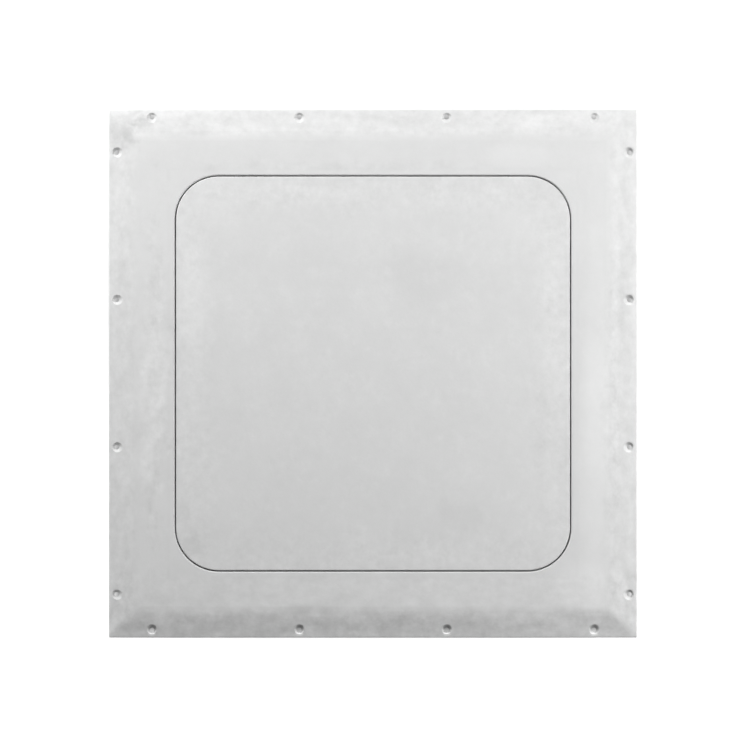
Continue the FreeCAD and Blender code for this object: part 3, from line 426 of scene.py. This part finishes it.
def seal_profile(foot, top):
    """The seal's section: a clip with two legs that grip the coaming, and a round bulb on it.

    The clip's edges are eased by 0.3 to 0.6 mm, and the bulb stays 0.1 mm inside its width."""
    half = SEAL_WIDTH / 2
    inner = half - SEAL_WALL
    right = [(inner, COAMING_TOP), (inner, foot + 0.0005), (inner + 0.0003, foot),
             (half - 0.0005, foot), (half, foot + 0.0006), (half, COAMING_TOP - 0.0006),
             (half - 0.0006, COAMING_TOP + 0.0004)]
    left = [(-across, up) for across, up in reversed(right)]
    bulb = []
    for step in range(BULB_STEPS + 1):
        angle = math.radians(BULB_START + step / BULB_STEPS * BULB_SWEEP)
        bulb.append((math.cos(angle) * (half - 0.0001),
                     top - BULB_RADIUS + math.sin(angle) * BULB_RADIUS))
    return right + bulb + left


def make_seal(node):
    """A push-on bulb seal swept round the coaming, in the space of the CAD seal."""
    low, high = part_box(node)
    middle = high.x - SEAL_WIDTH / 2
    path = rounded_path(middle, REBATE_ROUND - (REBATE_HALF - middle), CORNER_STEPS)
    profile = seal_profile(low.z, high.z)
    mesh = bmesh.new()
    rings = []
    for point, normal in path:
        rings.append([mesh.verts.new((*(point + normal * across), up)) for across, up in profile])
    for ring, following in zip(rings, rings[1:] + rings[:1]):
        for index in range(len(ring)):
            after = (index + 1) % len(ring)
            mesh.faces.new((ring[index], ring[after], following[after], following[index]))
    bmesh.ops.recalc_face_normals(mesh, faces=mesh.faces)
    data = bpy.data.meshes.new("bulb_seal")
    mesh.to_mesh(data)
    mesh.free()
    for face in data.polygons:
        face.use_smooth = True
    seal = bpy.data.objects.new("bulb_seal", data)
    bpy.context.scene.collection.objects.link(seal)
    data.materials.append(rubber())
    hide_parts(node)
    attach(seal, "root")


make_seal("coaming_seal")


# ---------------------------------------------------------------- floor, light and camera

FLOOR_GAP = 0.0005
FLOOR_HALF = 6.0
FLOOR_COLOUR = (0.92, 0.92, 0.92)
# How much darker the floor is below the hatch, a painted shadow there, and far off.
PAINTED_SHADOW_UNDER = 0.78
DARKER_FAR = 0.30
# Light of the floor's own: all round; more on the near side, painted light that takes away the
# hatch's shadow there; more far off; and a little below the hatch, painted light there too.
GLOW = 0.18
PAINTED_LIGHT_NEAR = 0.75
GLOW_FAR = 0.22
PAINTED_LIGHT_UNDER = 0.07
# From and to, in metres, of each change in the floor's tone: distances out from the middle, and
# for NEAR_SIDE along Y.
UNDER = (0.140, 0.300)
BESIDE = (0.294, 0.320)
FAR_OFF = (0.46, 1.30)
NEAR_SIDE = (0.15, -0.30)


def make_floor(height):
    """A white floor, with painted light that takes away the hatch's shadow beside it, a painted
    shadow below it, and pale grey far off.
    """
    tree = Tree("floor")
    reach = square_reach(tree)
    under = tree.ramp(reach, *UNDER)
    beside = tree.ramp(reach, *BESIDE)
    far = tree.ramp(reach, *FAR_OFF)
    shaded = tree.math("MULTIPLY", tree.ramp(tree.axis("Y"), *NEAR_SIDE),
                       tree.ramp(reach, *reversed(FAR_OFF)))
    tone = tree.noise(3.0, 2.0, 0.5)
    # Painted shadow: the floor is darker below the hatch.
    shade = tree.total((tone, 0.02), (beside, PAINTED_SHADOW_UNDER), (far, -DARKER_FAR))
    shade = tree.math("SUBTRACT", shade, PAINTED_SHADOW_UNDER)
    tree.set(Base_Color=tree.colour(FLOOR_COLOUR, shade))
    tree.set(Roughness=0.9)
    tree.set(Specular_IOR_Level=0.1)
    tree.set(Emission_Color=(1.0, 1.0, 1.0, 1.0))
    # Painted light: the glow takes away the hatch's shadow on the near side and lifts the floor a
    # little below the hatch.
    glow = tree.math("ADD", tree.total((shaded, PAINTED_LIGHT_NEAR), (far, GLOW_FAR)), GLOW)
    glow = tree.math("MULTIPLY", beside, glow)
    tree.set(Emission_Strength=tree.math("MULTIPLY_ADD", under, PAINTED_LIGHT_UNDER, glow))
    mesh = bmesh.new()
    bmesh.ops.create_grid(mesh, x_segments=1, y_segments=1, size=FLOOR_HALF)
    data = bpy.data.meshes.new("floor")
    mesh.to_mesh(data)
    mesh.free()
    data.materials.append(tree.material)
    floor = bpy.data.objects.new("floor", data)
    floor.location.z = height
    bpy.context.scene.collection.objects.link(floor)


def area_light(name, position, target, size, power):
    """A soft rectangular lamp that the camera doesn't see."""
    light = bpy.data.lights.new(name, "AREA")
    light.shape = "RECTANGLE"
    light.size, light.size_y = size
    light.energy = power
    lamp = bpy.data.objects.new(name, light)
    lamp.location = position
    lamp.rotation_euler = (Vector(target) - Vector(position)).to_track_quat("-Z", "Y").to_euler()
    lamp.visible_camera = False
    bpy.context.scene.collection.objects.link(lamp)


def make_world():
    """A white sky, brighter at the horizon and below it than overhead."""
    world = bpy.data.worlds.new("studio")
    world.use_nodes = True
    nodes = world.node_tree.nodes
    links = world.node_tree.links
    direction = nodes.new("ShaderNodeTexCoord")
    split = nodes.new("ShaderNodeSeparateXYZ")
    fade = nodes.new("ShaderNodeMapRange")
    for key, number in (("From Min", 0.02), ("From Max", 0.20), ("To Min", 0.80),
                        ("To Max", 0.26)):
        fade.inputs[key].default_value = number
    links.new(direction.outputs["Generated"], split.inputs[0])
    links.new(split.outputs["Z"], fade.inputs["Value"])
    links.new(fade.outputs[0], nodes["Background"].inputs["Strength"])
    nodes["Background"].inputs["Color"].default_value = (1.0, 1.0, 1.0, 1.0)
    bpy.context.scene.world = world


# The view is this wide in metres at the hatch's face, and its middle is a little off the hatch's.
VIEW_WIDTH = 0.8636
VIEW_MIDDLE = (0.0023, -0.0017)
LENS = 120.0
SENSOR = 36.0


def make_camera():
    """A long lens straight above the hatch, looking down."""
    data = bpy.data.cameras.new("camera")
    data.lens = LENS
    data.sensor_width = SENSOR
    camera = bpy.data.objects.new("camera", data)
    camera.location = (*VIEW_MIDDLE, CAD_HIGH.z + VIEW_WIDTH * LENS / SENSOR)
    bpy.context.scene.collection.objects.link(camera)
    bpy.context.scene.camera = camera


# Each light's position, target and size in metres, and its watts.
LIGHTS = {
    "key": ((-0.9, 1.2, 0.7), (0.0, 0.0, 0.0), (0.8, 0.6), 28.8),
    "fill_high": ((1.25, 0.35, 0.75), (0.1, 0.1, 0.0), (0.8, 1.0), 17.6),
    "fill_right": ((1.2, 0.0, 0.4), (0.1, 0.0, 0.0), (0.5, 1.2), 4.9),
    "fill_left": ((-1.2, 0.1, 0.4), (-0.1, 0.0, 0.0), (0.5, 1.2), 1.8),
}

make_floor(CAD_LOW.z - FLOOR_GAP)
for light_name, (position, target, size, power) in LIGHTS.items():
    area_light(light_name, position, target, size, power)

make_world()
make_camera()
bpy.context.scene.view_settings.view_transform = "Standard"
